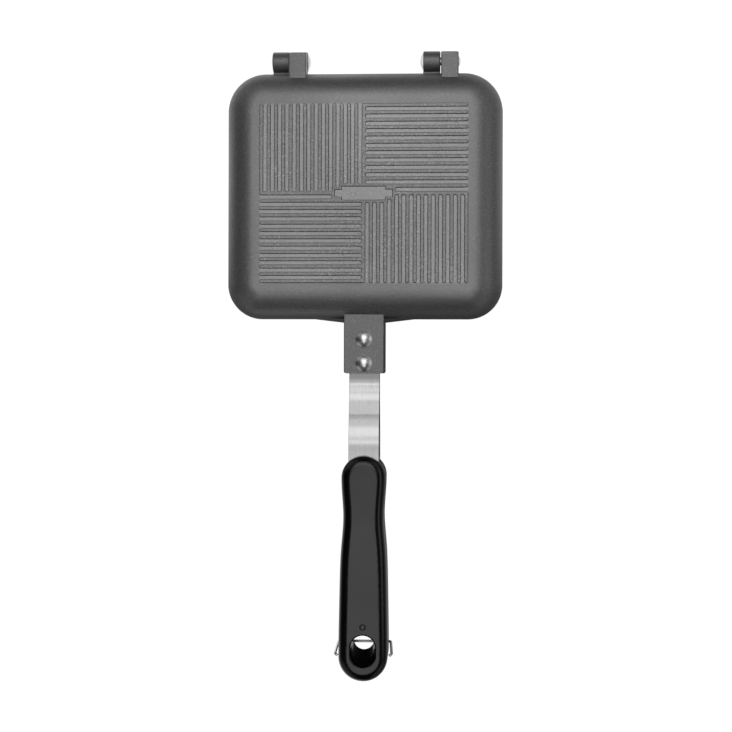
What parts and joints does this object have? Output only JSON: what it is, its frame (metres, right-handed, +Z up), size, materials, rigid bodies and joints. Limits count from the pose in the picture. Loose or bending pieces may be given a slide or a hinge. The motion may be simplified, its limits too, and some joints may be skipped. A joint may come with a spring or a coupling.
{
  "type": "pie iron",
  "caption": "Square sandwich pie iron: hinged cast pans with ribbed bases, riveted strap handles, black grips with a hanging hole and a swinging wire clip.",
  "frame": {"origin": "middle of the bottom of the closed iron's box, on the surface that the lower pan rests on", "axes": "+Z up, +Y from the handles towards the hinge, +X to the right seen from above with the handles near"},
  "size_m": [0.152, 0.3462, 0.0396],
  "materials": {
    "pan_coating": "cast aluminium under a satin grey non-stick coating, finely speckled",
    "strap_steel": "satin rolled steel",
    "rivet_steel": "bright pressed steel",
    "pin_steel": "bright turned steel",
    "clip_wire": "bright plated spring wire",
    "grip_plastic": "black moulded phenolic, semi-gloss"
  },
  "bodies": {
    "lower_half": {"lower_pan": "pan_coating", "hinge_pin_left": "pin_steel", "hinge_pin_right": "pin_steel", "lower_strap": "strap_steel", "lower_grip": "grip_plastic", "lower_rivet_front": "rivet_steel", "lower_rivet_rear": "rivet_steel"},
    "upper_half": {"upper_pan": "pan_coating", "upper_strap": "strap_steel", "upper_grip": "grip_plastic", "upper_rivet_front": "rivet_steel", "upper_rivet_rear": "rivet_steel"},
    "clip": {"wire_clip": "clip_wire"}
  },
  "joints": [
    {"name": "lid_hinge", "type": "hinge", "parent": "lower_half", "child": "upper_half", "pos_m": [0, 0.16755, 0.0198], "axis": [-1, 0, 0], "range_deg": [0, 180]},
    {"name": "clip_pivot", "type": "hinge", "parent": "lower_half", "child": "clip", "pos_m": [0, -0.15525, 0.0113], "axis": [1, 0, 0], "range_deg": [0, 105]}
  ]
}
